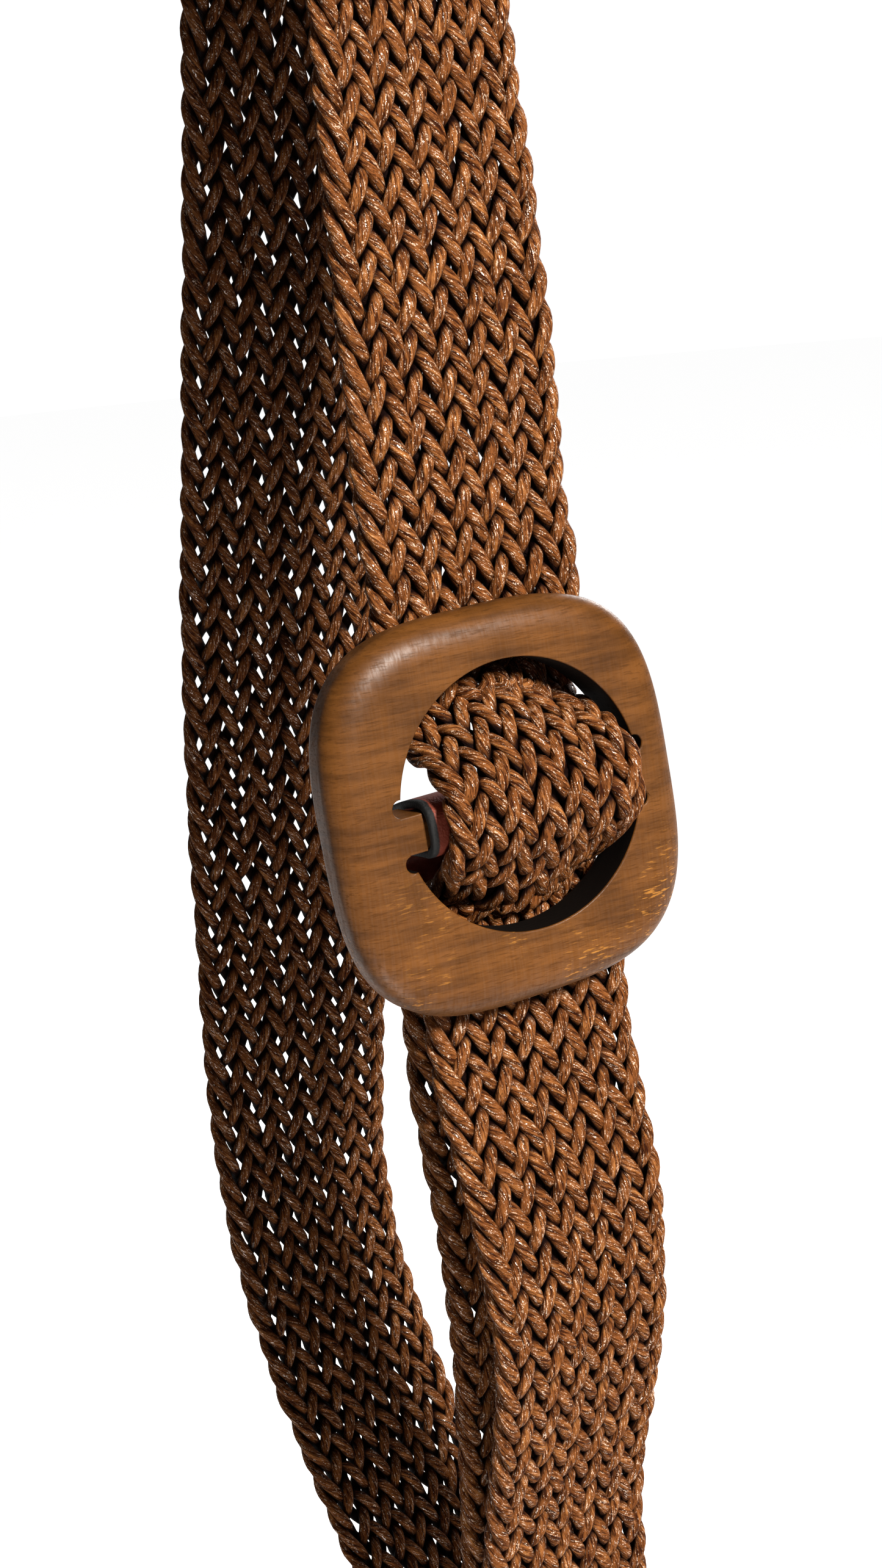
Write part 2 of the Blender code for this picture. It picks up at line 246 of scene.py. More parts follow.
class Finishes(bpy.types.PropertyGroup):
    """Colours of the belt's three materials."""
    cord_colour: FloatVectorProperty(
        name="Cord", description="Waxed cord's main brown", subtype="COLOR",
        default=(0.215, 0.069, 0.017))
    # Painted shade in the fibre valleys, and the colour of the cord's dark flecks
    cord_fleck_and_valley_shade: FloatVectorProperty(
        name="Cord shade", description="Waxed cord's brown in its fibre valleys", subtype="COLOR",
        default=(0.030, 0.006, 0.001))
    # Painted shade: near black where a cord dips under its neighbours
    cord_crevice_shade: FloatVectorProperty(
        name="Cord gap", description="Waxed cord's near black between the cords",
        subtype="COLOR", default=(0.005, 0.0008, 0.0004))
    # Painted glint on the coat's glossy grains
    cord_painted_glint: FloatVectorProperty(
        name="Cord wax", description="Colour of wax on the cord's fibres", subtype="COLOR",
        default=(0.95, 0.70, 0.50))
    # Painted light on the fibre crests, in ochre patches
    cord_ochre_and_crest_light: FloatVectorProperty(
        name="Cord fibre", description="Waxed cord's ochre where its fibres stand out",
        subtype="COLOR", default=(0.47, 0.19, 0.055))
    wood_colour: FloatVectorProperty(
        name="Wood", description="Oiled wood's main brown", subtype="COLOR",
        default=(0.178, 0.065, 0.013))
    wood_dark: FloatVectorProperty(
        name="Wood shade", description="Oiled wood's darker grain", subtype="COLOR",
        default=(0.050, 0.017, 0.0025))
    wood_fleck: FloatVectorProperty(
        name="Wood fleck", description="Oiled wood's orange flecks", subtype="COLOR",
        default=(0.48, 0.20, 0.035))
    # Painted shade on the opening's wall
    wall_painted_shade: FloatVectorProperty(
        name="Shaded wall", description="Near black of the opening's wall",
        subtype="COLOR", default=(0.004, 0.0022, 0.0014))
    leather_colour: FloatVectorProperty(
        name="Leather", description="Oxblood leather's face", subtype="COLOR",
        default=(0.42, 0.085, 0.048))
    leather_edge: FloatVectorProperty(
        name="Leather edge", description="Paint on the leather's cut edge", subtype="COLOR",
        default=(0.008, 0.008, 0.008))


class StageSettings(bpy.types.PropertyGroup):
    """Light and floor round the belt."""
    key_power: FloatProperty(
        name="Key light", description="Power of the light from the front", default=9.0,
        unit="POWER")
    fill: FloatProperty(
        name="Fill", description="Brightness of the pale surround", default=0.03)
    floor_drop: FloatProperty(
        name="Floor drop", description="Distance from the hanging point to the floor",
        default=0.62, unit="LENGTH")
    seed: IntProperty(name="Seed", description="Seed of the cords' unevenness", default=7)


class Socket:
    """A shader socket on which Python's operators add Math nodes."""

    def __init__(self, surface, output):
        self.surface = surface
        self.output = output

    def maths(self, operation, *values):
        inputs = {place: value for place, value in enumerate(values)}
        return self.surface.add("ShaderNodeMath", {"operation": operation}, inputs)

    def __add__(self, other):
        return self.maths("ADD", self, other)

    __radd__ = __add__

    def __mul__(self, other):
        return self.maths("MULTIPLY", self, other)

    __rmul__ = __mul__

    def __sub__(self, other):
        return self.maths("SUBTRACT", self, other)

    def __rsub__(self, other):
        return self.maths("SUBTRACT", other, self)

    def __abs__(self):
        return self.maths("ABSOLUTE", self)

    def sine(self):
        return self.maths("SINE", self)

    def cosine(self):
        return self.maths("COSINE", self)

    def step(self, low, high):
        """A smooth step from 0 at low to 1 at high."""
        return self.surface.add("ShaderNodeMapRange", {"interpolation_type": "SMOOTHSTEP"},
                                {"Value": self, "From Min": low, "From Max": high})


class Surface:
    """One material on a Principled shader."""

    def __init__(self, name, roughness=0.5, **constants):
        self.material = bpy.data.materials.new(name)
        self.material.use_nodes = True
        self.tree = self.material.node_tree
        self.shader = self.tree.nodes["Principled BSDF"]
        self.shader.inputs["Roughness"].default_value = roughness
        for socket, value in constants.items():
            self.shader.inputs[socket.replace("_", " ")].default_value = value

    def add(self, kind, settings, inputs, output=0):
        """Adds a node: its settings first, then its sockets' values or links."""
        node = self.tree.nodes.new(kind)
        for key, value in settings.items():
            setattr(node, key, value)
        for place, value in inputs.items():
            if isinstance(value, Socket):
                self.tree.links.new(value.output, node.inputs[place])
            else:
                node.inputs[place].default_value = value
        return Socket(self, node.outputs[output])

    def noise(self, vector, scale, detail=2.0, roughness=0.5):
        return self.add("ShaderNodeTexNoise", {},
                        {"Vector": vector, "Scale": scale, "Detail": detail,
                         "Roughness": roughness})

    def stretched(self, vector, turn, scale):
        """The vector turned and scaled, so that a pattern runs one way."""
        return self.add("ShaderNodeMapping", {},
                        {"Vector": vector, "Rotation": turn, "Scale": scale})

    def object_place(self):
        return self.add("ShaderNodeTexCoord", {}, {}, output="Object")

    def own_place(self, layer):
        """The piece's own map: its first and second value."""
        place = self.add("ShaderNodeUVMap", {"uv_map": layer}, {})
        first = self.add("ShaderNodeSeparateXYZ", {}, {0: place}, output=0)
        second = self.add("ShaderNodeSeparateXYZ", {}, {0: place}, output=1)
        return first, second

    def join(self, x, y, z):
        return self.add("ShaderNodeCombineXYZ", {}, {0: x, 1: y, 2: z})

    def blend(self, factor, first, second):
        """A colour between the first and the second."""
        colours = [value if isinstance(value, Socket) else (*value, 1.0)
                   for value in (first, second)]
        return self.add("ShaderNodeMix", {"data_type": "RGBA"},
                        {0: factor, 6: colours[0], 7: colours[1]}, output=2)

    def bump(self, height, distance, strength=1.0, under=None):
        inputs = {"Height": height, "Distance": distance, "Strength": strength}
        if under is not None:
            inputs["Normal"] = under
        return self.add("ShaderNodeBump", {}, inputs)

    def feed(self, **links):
        for socket, value in links.items():
            self.tree.links.new(value.output, self.shader.inputs[socket.replace("_", " ")])
        return self.material


def waxed_cord(colours):
    """Twisted cotton: plies and their fibres run round the cord as a helix. Painted shade darkens
    the fibres' valleys and painted light makes their crests ochre, over the fibres' own tones.
    Small grains have a glossy coat and a pale painted glint. The cord is painted near black,
    as painted shade, where it dips under its neighbours."""
    surface = Surface("waxed_cord", roughness=0.7, Specular_IOR_Level=0.06,
                      Coat_Roughness=0.22, Coat_IOR=1.7)
    around, along = surface.own_place("cord")
    turn = around * (2 * math.pi) + along * lay_per_round

    def fibres(breadth, length, detail):
        """Noise on a helix: streaks round the cord, narrower as breadth grows, shorter as
        length grows."""
        helix = surface.join(turn.cosine() * breadth, turn.sine() * breadth, along * length)
        return surface.noise(helix, 1.0, detail, 0.62)

    strands = fibres(2.4, 2.4, 3.0)
    flecks = fibres(4.6, 7.0, 2.0)
    place = surface.object_place()
    patches = surface.noise(place, 160.0, 2.0)
    fuzz = surface.noise(place, 3600.0, 1.0, 0.6)
    ply = (turn * plies_per_turn).cosine() * 0.5 + 0.5
    # How far a point stands clear of the crevices between cords: the mask of the painted shade
    exposed = surface.add("ShaderNodeAttribute", {"attribute_name": "exposed"}, {}, output="Fac")
    clear_of_shade = exposed.step(0.34, 0.84)
    # Painted shade: the fibre valleys darker, over the fibres' own tones
    colour = surface.blend(strands.step(0.34, 0.56), tuple(colours.cord_fleck_and_valley_shade),
                           tuple(colours.cord_colour))
    # Painted light: the fibre crests ochre, in random patches
    colour = surface.blend(strands.step(0.50, 0.72) * patches.step(0.35, 0.65), colour,
                           tuple(colours.cord_ochre_and_crest_light))
    colour = surface.blend(flecks.step(0.58, 0.66) * 0.75, colour, tuple(colours.cord_fleck_and_valley_shade))
    # Glossy coat on small grains, with a pale painted glint on them where the cord stands clear
    wax_and_glint = (1.0 - flecks).step(0.56, 0.62) * fuzz.step(0.46, 0.57) * clear_of_shade
    colour = surface.blend(wax_and_glint * 0.75, colour, tuple(colours.cord_painted_glint))
    # Painted shade: near black where the cord dips under its neighbours, in the crevices between
    # cords
    colour = surface.blend(clear_of_shade, tuple(colours.cord_crevice_shade), colour)
    first = surface.bump(ply, 0.00028, 0.8)
    second = surface.bump(strands + flecks * 0.5 + fuzz * 0.2, 0.00034, 1.0, first)
    return surface.feed(Base_Color=colour, Coat_Weight=wax_and_glint, Normal=second)


def oiled_wood(colours):
    """Fine grain across the ring, darker bands, hairlines across the grain that streak its thin
    oiled sheen, and short orange flecks in its lower part. The opening's wall is painted near
    black, as painted shade, and has no sheen, which the piece's own attribute marks."""
    surface = Surface("oiled_wood", roughness=0.5, Specular_IOR_Level=0.08, Coat_Roughness=0.34)
    place = surface.object_place()

    def along_grain(lean, scale):
        return surface.stretched(place, (0.0, math.radians(lean), 0.0), scale)

    grain = surface.noise(along_grain(6.0, (50.0, 160.0, 620.0)), 1.0, 4.0, 0.65)
    bands = surface.noise(along_grain(8.0, (16.0, 40.0, 110.0)), 1.0, 3.0, 0.6)
    clouds = surface.noise(place, 70.0, 3.0, 0.6)
    pores = surface.noise(along_grain(6.0, (300.0, 1200.0, 3200.0)), 1.0, 2.0, 0.6)
    flecks = surface.noise(along_grain(24.0, (330.0, 900.0, 2200.0)), 1.0, 2.0, 0.6)
    hairlines = surface.noise(along_grain(0.0, (2400.0, 1200.0, 60.0)), 1.0, 2.0, 0.6)
    zones = surface.noise(place, 75.0, 2.0)
    height = surface.add("ShaderNodeSeparateXYZ", {}, {0: place}, output=2)
    low = (height * -1.0).step(0.214, 0.234)
    mixed = grain.step(0.32, 0.66) * 0.45 + bands.step(0.3, 0.7) * 0.25
    mixed = mixed + clouds.step(0.32, 0.66) * 0.3
    colour = surface.blend(mixed, tuple(colours.wood_dark), tuple(colours.wood_colour))
    fleck = flecks.step(0.56, 0.66) * zones.step(0.44, 0.60) * low
    colour = surface.blend(fleck * 0.85, colour, tuple(colours.wood_fleck))
    colour = surface.blend(pores.step(0.54, 0.68) * 0.45, colour, tuple(colours.wood_dark))
    # Painted shade: the opening's wall near black, rough and without sheen
    wall = surface.add("ShaderNodeAttribute", {"attribute_name": "wall_shade"}, {}, output="Fac")
    colour = surface.blend(wall, colour, tuple(colours.wall_painted_shade))
    open_pores = pores.step(0.5, 0.7)
    sheen = (1.0 - wall) * (0.15 + hairlines.step(0.35, 0.65) * 0.2) * (1.0 - open_pores * 0.5)
    rough = 0.50 + open_pores * 0.12 + wall * 0.4
    normal = surface.bump(pores * 0.8 + grain * 0.8 + hairlines * 0.25, 0.00006, 0.7)
    return surface.feed(Base_Color=colour, Roughness=rough, Coat_Weight=sheen, Normal=normal)


def oxblood_leather(colours):
    """A pebbled red-brown face and a black painted cut edge."""
    surface = Surface("oxblood_leather", roughness=0.42, Specular_IOR_Level=0.3)
    across, along = surface.own_place("strip")
    place = surface.object_place()
    pebbles = surface.add("ShaderNodeTexVoronoi", {"feature": "SMOOTH_F1"},
                          {"Vector": place, "Scale": 2300.0, "Smoothness": 0.5})
    clouds = surface.noise(place, 300.0, 3.0)
    ragged = surface.noise(surface.join(along * 900.0, 0.0, 0.0), 1.0, 2.0)
    half_width = tab_width / 2
    edge = (abs(across) + ragged * 0.0004).step(half_width - paint_from, half_width - paint_full)
    colour = surface.blend(clouds.step(0.3, 0.7) * 0.5, tuple(colours.leather_colour),
                           tuple(0.6 * part for part in colours.leather_colour))
    colour = surface.blend(edge, colour, tuple(colours.leather_edge))
    rough = 0.40 + edge * 0.3 + clouds * 0.1
    normal = surface.bump(pebbles, 0.00010, 0.8)
    return surface.feed(Base_Color=colour, Roughness=rough, Normal=normal)


def add_piece(name, points, faces, material, layer=None, places=None):
    """A mesh from points and faces, shaded smooth, with an own map on its corners."""
    mesh = bpy.data.meshes.new(name)
    mesh.from_pydata(points.tolist(), [], faces)
    if layer is not None:
        mesh.uv_layers.new(name=layer).data.foreach_set("uv", places.ravel())
    mesh.materials.append(material)
    mesh.shade_smooth()
    piece = bpy.data.objects.new(name, mesh)
    bpy.context.collection.objects.link(piece)
    return piece


def smooth_through(rows, steps):
    """A natural cubic spline through the rows, read at equal steps between each two."""
    rows = np.array(rows)
    gaps = np.linalg.norm(np.diff(rows[:, :3], axis=0), axis=1)
    knots = np.concatenate(([0.0], np.cumsum(gaps)))
    count = len(rows)
    matrix = np.eye(count)
    change = np.zeros_like(rows)
    slopes = np.diff(rows, axis=0) / gaps[:, None]
    for index in range(1, count - 1):
        matrix[index, index - 1] = gaps[index - 1]
        matrix[index, index] = 2 * (gaps[index - 1] + gaps[index])
        matrix[index, index + 1] = gaps[index]
        change[index] = 6 * (slopes[index] - slopes[index - 1])
    bend = np.linalg.solve(matrix, change)
    share = np.arange(steps) / steps
    reads = np.concatenate([knots[i] + share * gaps[i] for i in range(count - 1)] + [knots[-1:]])
    cell = np.clip(np.searchsorted(knots, reads, side="right") - 1, 0, count - 2)
    span = gaps[cell][:, None]
    right = (reads - knots[cell])[:, None]
    left = span - right
    curve = (bend[cell] * left ** 3 + bend[cell + 1] * right ** 3) / (6 * span)
    curve += (rows[cell] / span - bend[cell] * span / 6) * left
    curve += (rows[cell + 1] / span - bend[cell + 1] * span / 6) * right
    return curve


def buckle_axes():
    """The buckle's own directions: right along the bar, up, and out of its face."""
    up = np.array((0.0, math.sin(buckle_lean), math.cos(buckle_lean)))
    out = np.array((0.0, -math.cos(buckle_lean), math.sin(buckle_lean)))
    right = np.array((1.0, 0.0, 0.0))
    cosine = math.cos(buckle_turn)
    sine = math.sin(buckle_turn)
    return right * cosine + up * sine, up * cosine - right * sine, out


def from_buckle(points):
    """Points in the buckle's own directions, placed in the belt's frame."""
    middle = np.array((0.0, -buckle_forward, -buckle_drop))
    return points @ np.array(buckle_axes()) + middle


def hung_row(row):
    """A route row of the free loop: place, twist, turn, width share and crown."""
    back, drop, side, twist = row
    place = (side * strap_width, back * loop_depth, half_strap - drop * loop_height)
    return place + (math.radians(twist), 0.0, 1.0, 0.0)


def near_buckle(side, up, out, width, crown):
    """A route row near the buckle, from heights along its lean and out of its face."""
    height = up * math.cos(buckle_lean) + out * math.sin(buckle_lean) - buckle_drop
    back = up * math.sin(buckle_lean) - out * math.cos(buckle_lean) - buckle_forward
    return (side * strap_width, back, height, 0.0, buckle_turn, width, crown * strap_thickness)


def weave_row(row):
    """A route row of the weave through the ring's opening."""
    up, depth, crown, width, side = row
    out = behind_ring + depth * (over_bar - behind_ring) - crown * strap_thickness
    return near_buckle(side, opening_up + up * opening_radius, out, width, crown)


def strap_route():
    """The strap's middle line at fine steps, with its directions, width share and crown."""
    middle = (end_start + end_stop) / 2
    rows = [near_buckle(0.06, up, end_layer, 0.97, 0.0) for up in (end_start, middle, end_stop)]
    rows += [hung_row(row) for row in lower_rows + back_rows + top_rows + front_rows]
    rows += [weave_row(row) for row in weave_rows]
    rows += [hung_row(row) for row in tail_rows]
    line = smooth_through(rows, 30)
    along = np.gradient(line[:, :3], axis=0)
    along /= np.linalg.norm(along, axis=1)[:, None]
    twist = line[:, 3]
    across = np.stack([np.cos(twist), np.sin(twist), np.zeros_like(twist)], axis=1)
    across -= (across * along).sum(axis=1)[:, None] * along
    across += np.sin(line[:, 4])[:, None] * np.array((0.0, 0.0, 1.0))
    across /= np.linalg.norm(across, axis=1)[:, None]
    outward = np.cross(along, across)
    outward /= np.linalg.norm(outward, axis=1)[:, None]
    run = np.concatenate(([0.0], np.cumsum(np.linalg.norm(np.diff(line[:, :3], axis=0), axis=1))))
    return run, np.column_stack([line[:, :3], across, outward, line[:, 5:7]])


def edge_to_edge(phase):
    """Where a cord lies across the braid: a triangle wave from 0 to the cord count and back,
    with its corners rounded by a parabola."""
    phase = np.mod(phase, 2 * cord_count)
    wave = cord_count - np.abs(phase - cord_count)
    for edge, sign in ((0.0, 1.0), (float(cord_count), -1.0)):
        away = np.abs(wave - edge)
        rounded = edge + sign * (away ** 2 + edge_corner ** 2) / (2 * edge_corner)
        wave = np.where(away < edge_corner, rounded, wave)
    return wave


def over_and_under(phase):
    """A cord's height in the braid, from -1 under to 1 over: a cosine that changes side every
    two crossings, drawn out a little at the strap's edges, with flattened tops."""
    first = np.arange(1.5, cord_count, 2.0)
    knots = np.concatenate([first, first + cord_count, [first[0] + 2 * cord_count]])
    knots = np.concatenate([[knots[-2] - 2 * cord_count], knots])
    turns = np.arange(-1, len(knots) - 1) * math.pi
    swing = np.cos(np.interp(np.mod(phase, 2 * cord_count), knots, turns))
    return np.sign(swing) * np.abs(swing) ** 0.7


def slow_noise(random, count, length, spacing):
    """Rows of smooth random values between -1 and 1 that change over the spacing."""
    knots = int(length / spacing) + 3
    values = random.uniform(-1.0, 1.0, (count, knots))
    reads = np.linspace(0, knots - 1.001, int(length / cord_step) + 1)
    cell = reads.astype(int)
    share = reads - cell
    share = share * share * (3 - 2 * share)
    return values[:, cell] * (1 - share) + values[:, cell + 1] * share


def braid_points(sizes, seed):
    """The surface points of every cord: an ellipse carried along the cord's path. The path is
    the strap's middle line, moved across by the edge to edge wave and out by the over and
    under wave, plus the crown's bell shape across the strap. A point is exposed as far as it
    stands out of the strap's middle plane, or near the strap's edge; the cord's material paints
    shade near black where a point is not exposed."""
    run, route = strap_route()
    length = run[-1]
    random = np.random.default_rng(seed)
    count = int(length / cord_step) + 1
    reach = np.linspace(0.0, length, count)
    here = np.stack([np.interp(reach, run, column) for column in route.T], axis=1)
    half_spacing = sizes.float_spacing / 2
    phase = reach[None, :] / half_spacing - 2.0 * np.arange(cord_count)[:, None]
    stray = slow_noise(random, cord_count, length, stray_spacing)
    stray_out = slow_noise(random, cord_count, length, stray_out_spacing)
    hurry = slow_noise(random, cord_count, length, phase_spacing)
    wave = edge_to_edge(phase + phase_stray * hurry)
    height = over_and_under(phase)
    widest = strap_width / 2 - sizes.cord_width / 2 + edge_overhang
    side = (wave / cord_count * 2 - 1) / (1 - edge_corner / cord_count) * widest
    side = side + stray * sizes.unevenness
    lift = (strap_thickness - sizes.cord_thickness) / 2
    out = height * lift + stray_out * sizes.unevenness * 0.6
    width = here[:, 9]
    bell = np.cos(np.clip(side / (strap_width / 2), -1, 1) * math.pi / 2) ** 2
    out = out + here[:, 10] * bell
    centre = here[None, :, 0:3] + (side * width)[:, :, None] * here[None, :, 3:6]
    centre = centre + out[:, :, None] * here[None, :, 6:9]
    tangent = np.gradient(centre, axis=1)
    tangent /= np.linalg.norm(tangent, axis=2)[:, :, None]
    face = np.broadcast_to(here[None, :, 6:9], tangent.shape)
    flank = np.cross(face, tangent)
    flank /= np.linalg.norm(flank, axis=2)[:, :, None]
    top = np.cross(tangent, flank)
    angle = np.arange(cord_sides) * 2 * math.pi / cord_sides - math.pi / 2
    behind = np.clip((here[None, :, 1] - open_from) / (open_full - open_from), 0.0, 1.0)
    plump = (1.0 + 0.05 * np.abs(height) + 0.04 * stray) * (1.0 - open_share * behind)
    half_width = (sizes.cord_width / 2 * plump)[:, :, None, None]
    half_thick = (sizes.cord_thickness / 2 * plump)[:, :, None, None]
    ring = half_width * np.cos(angle)[None, None, :, None] * flank[:, :, None, :]
    ring = ring + half_thick * np.sin(angle)[None, None, :, None] * top[:, :, None, :]
    rise = height * lift
    rise = rise[:, :, None] + half_thick[:, :, :, 0] * np.sin(angle)
    reach_out = side[:, :, None] + half_width[:, :, :, 0] * np.cos(angle)
    near_edge = (np.abs(reach_out) - strap_width / 2 + edge_band) / edge_band
    exposed = np.clip(np.maximum(np.abs(rise) / half_strap, near_edge), 0.0, 1.0)
    steps = np.linalg.norm(np.diff(centre, axis=1), axis=2)
    travel = np.concatenate([np.zeros((cord_count, 1)), np.cumsum(steps, axis=1)], axis=1)
    return centre[:, :, None, :] + ring, travel, exposed


def tube_faces(cords, rings, sides):
    """Quads round and along each tube, and one end face at each of its ends."""
    base = (np.arange(cords) * rings * sides)[:, None, None]
    ring = (np.arange(rings - 1) * sides)[None, :, None]
    here = np.arange(sides)[None, None, :]
    after = (here + 1) % sides
    corners = [base + ring + here, base + ring + after,
               base + ring + sides + after, base + ring + sides + here]
    quads = np.stack(np.broadcast_arrays(*corners), axis=-1).reshape(-1, 4)
    first = (np.arange(cords) * rings * sides)[:, None] + np.arange(sides)[::-1]
    last = first + (rings - 1) * sides
    return quads.tolist() + first.tolist() + last[:, ::-1].tolist()


def make_strap(settings, colours):
    """Five pieces of five cords each, which stand for the strap's one solid."""
    points, travel, exposed = braid_points(settings.strap, settings.stage.seed)
    material = waxed_cord(colours)
    round_length = math.pi * (settings.strap.cord_width + settings.strap.cord_thickness) / 2
    per_group = cord_count // cord_groups
    rings = points.shape[1]
    for group in range(cord_groups):
        chosen = slice(group * per_group, (group + 1) * per_group)
        part = points[chosen]
        faces = tube_faces(per_group, rings, cord_sides)
        around = np.arange(cord_sides) / cord_sides
        after = around + 1 / cord_sides
        along = travel[chosen] / round_length + 13.7 * np.arange(per_group)[:, None]
        shape = (per_group, rings - 1, cord_sides)
        low = np.broadcast_to(along[:, :-1, None], shape)
        high = np.broadcast_to(along[:, 1:, None], shape)
        first = np.broadcast_to(around, shape)
        second = np.broadcast_to(after, shape)
        places = np.stack([first, low, second, low, second, high, first, high], axis=-1)
        ends = np.zeros((2 * per_group * cord_sides, 2))
        places = np.concatenate([places.reshape(-1, 2), ends])
        piece = add_piece(f"cords_{group + 1}", part.reshape(-1, 3), faces, material,
                          "cord", places)
        # How far each point stands clear of the crevices, which the cord's material reads to
        # paint shade
        layer = piece.data.attributes.new("exposed", "FLOAT", "POINT")
        layer.data.foreach_set("value", exposed[chosen].ravel())
        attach(piece, "root")
        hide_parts("braided_strap")


def opening_reach(turn):
    """Distance from the opening's middle to its wall: a circle, with a small circle's far side
    where a notch stands at a root of the bar."""
    reach = np.full_like(turn, opening_radius)
    for sign in (1, -1):
        height = sign * (bar_height / 2 + notch_radius) - opening_up
        for side in (1, -1):
            notch = math.atan2(height, side * math.sqrt(opening_radius ** 2 - height ** 2))
            away = np.angle(np.exp(1j * (turn - notch)))
            inside = notch_radius ** 2 - (opening_radius * np.sin(away)) ** 2
            found = opening_radius * np.cos(away) + np.sqrt(np.maximum(inside, 0.0))
            reach = np.where((inside > 0) & (np.cos(away) > 0), np.maximum(reach, found), reach)
    return reach


def ring_turns():
    """Angles round the opening, closer together where the notches stand."""
    turns = [np.arange(ring_turn_count) * 2 * math.pi / ring_turn_count]
    for sign in (1, -1):
        height = sign * (bar_height / 2 + notch_radius) - opening_up
        for side in (1, -1):
            notch = math.atan2(height, side * math.sqrt(opening_radius ** 2 - height ** 2))
            half = notch_radius / opening_radius
            turns.append(notch + half * np.sin(np.linspace(-1, 1, 33) * math.pi / 2))
    return np.unique(np.round(np.mod(np.concatenate(turns), 2 * math.pi), 5))


def ring_points():
    """The ring as a surface of two parameters: the angle round the opening, and the way round
    the ring's section: inner wall, crisp inner edge, face, front rounding, side, back."""
    turn = ring_turns()
    cosine = np.cos(turn)
    sine = np.sin(turn)
    inner = opening_reach(turn)
    power = buckle_squareness
    outer = (np.abs(cosine) ** power + np.abs(sine) ** power) ** (-1 / power)

    def at_inner(grow, depth):
        reach = inner + grow
        return np.stack([cosine * reach + opening_side, sine * reach + opening_up,
                         np.full_like(turn, depth)], axis=1)

    def at_outer(inset, depth):
        return np.stack([cosine * outer * (buckle_width / 2 - inset),
                         sine * outer * (buckle_height / 2 - inset),
                         np.full_like(turn, depth)], axis=1)

    rows = [at_inner(0.0, depth) for depth in np.linspace(-half_buckle + crisp_edge,
                                                          half_buckle - crisp_edge, 5)]
    wall_rows = len(rows)
    for angle in np.linspace(0, math.pi / 2, 5)[1:]:
        rows.append(at_inner(crisp_edge * (1 - math.cos(angle)),
                             half_buckle - crisp_edge * (1 - math.sin(angle))))
    front_inner = rows[-1]
    front_outer = at_outer(front_round_reach, half_buckle)
    rows += [front_inner + (front_outer - front_inner) * share for share in (0.2, 0.4, 0.6, 0.8)]
    for angle in np.linspace(math.pi / 2, 0, 16):
        rows.append(at_outer(front_round_reach * (1 - math.cos(angle)),
                             half_buckle - front_round * (1 - math.sin(angle))))
    for angle in np.linspace(0, math.pi / 2, 8):
        rows.append(at_outer(back_round * (1 - math.cos(angle)),
                             -half_buckle + back_round * (1 - math.sin(angle))))
    back_outer = rows[-1]
    back_inner = at_inner(crisp_edge, -half_buckle)
    rows += [back_outer + (back_inner - back_outer) * share for share in (0.25, 0.5, 0.75, 1.0)]
    for angle in np.linspace(math.pi / 2, 0, 5)[1:-1]:
        rows.append(at_inner(crisp_edge * (1 - math.cos(angle)),
                             -half_buckle + crisp_edge * (1 - math.sin(angle))))
    return np.stack(rows, axis=0), wall_rows


def closed_grid_faces(rows, columns):
    """Quads of a grid that closes on itself both ways."""
    row = np.arange(rows)[:, None]
    column = np.arange(columns)[None, :]
    next_row = (row + 1) % rows
    next_column = (column + 1) % columns
    corners = [row * columns + column, row * columns + next_column,
               next_row * columns + next_column, next_row * columns + column]
    return np.stack(np.broadcast_arrays(*corners), axis=-1).reshape(-1, 4)


def rounded_box_section(half_height, back, front, radius, steps):
    """A rounded rectangle's outline, up and out of the face, with the same number of points
    whatever its corner radius."""
    corners = ((1, front, 0.0), (-1, front, 0.5), (-1, back, 1.0), (1, back, 1.5))
    points = []
    for side, face, start in corners:
        inward = -1 if face == front else 1
        centre = (side * (half_height - radius), face + inward * radius)
        turn = (start + np.linspace(0.0, 0.5, steps)) * math.pi
        points.append(np.stack([centre[0] + radius * np.cos(turn),
                                centre[1] + radius * np.sin(turn)], axis=1))
    return np.concatenate(points)


def bar_points():
    """The bar: a rounded rectangle carried from one wall of the opening to the other, full and
    crisp at its roots, planed thinner and rounder where the tab wraps it."""
    root = opening_radius + bar_bite
    planed = tab_width / 2 + clearance
    full = rounded_box_section(bar_height / 2, -half_buckle + hidden_seam,
                               half_buckle + covered_seam, bar_crisp, 7)
    thin = rounded_box_section(bar_height / 2, half_buckle - bar_depth,
                               half_buckle - hidden_seam, bar_round, 7)
    stations = [(-root, full), (-planed - planed_step, full), (-planed, thin),
                (planed, thin), (planed + planed_step, full), (root, full)]
    rings = [np.column_stack([np.full(len(section), opening_side + side), section])
             for side, section in stations]
    return np.stack(rings, axis=0)


def outward_faces(points, faces):
    """The faces turned so that the closed surface's signed volume is positive."""
    corner = points[np.array([face[:3] for face in faces])]
    volume = np.einsum("ij,ij->i", corner[:, 0], np.cross(corner[:, 1], corner[:, 2])).sum()
    if volume < 0:
        return [face[::-1] for face in faces]
    return faces


def make_buckle(colours):
    """The buckle: the ring and its bar in one piece, with its wall marked for painted shade."""
    ring, wall_rows = ring_points()
    rows, columns = ring.shape[:2]
    ring_faces = closed_grid_faces(rows, columns).tolist()
    ring = ring.reshape(-1, 3)
    bar = bar_points()
    stations, sides = bar.shape[:2]
    bar = bar.reshape(-1, 3)
    bar_faces = tube_faces(1, stations, sides)
    ring_faces = outward_faces(ring, ring_faces)
    bar_faces = outward_faces(bar, bar_faces)
    points = np.concatenate([ring, bar])
    faces = ring_faces + [[corner + len(ring) for corner in face] for face in bar_faces]
    piece = add_piece("wooden_buckle", from_buckle(points), faces, oiled_wood(colours))
    # The opening's wall points carry the mask of the painted shade
    wall_shade = np.zeros(len(points))
    wall_shade[:wall_rows * columns] = 1.0
    piece.data.attributes.new("wall_shade", "FLOAT", "POINT").data.foreach_set("value", wall_shade)
    piece.data.set_sharp_from_angle(angle=math.radians(50))
    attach(piece, "root")
    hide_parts("buckle")


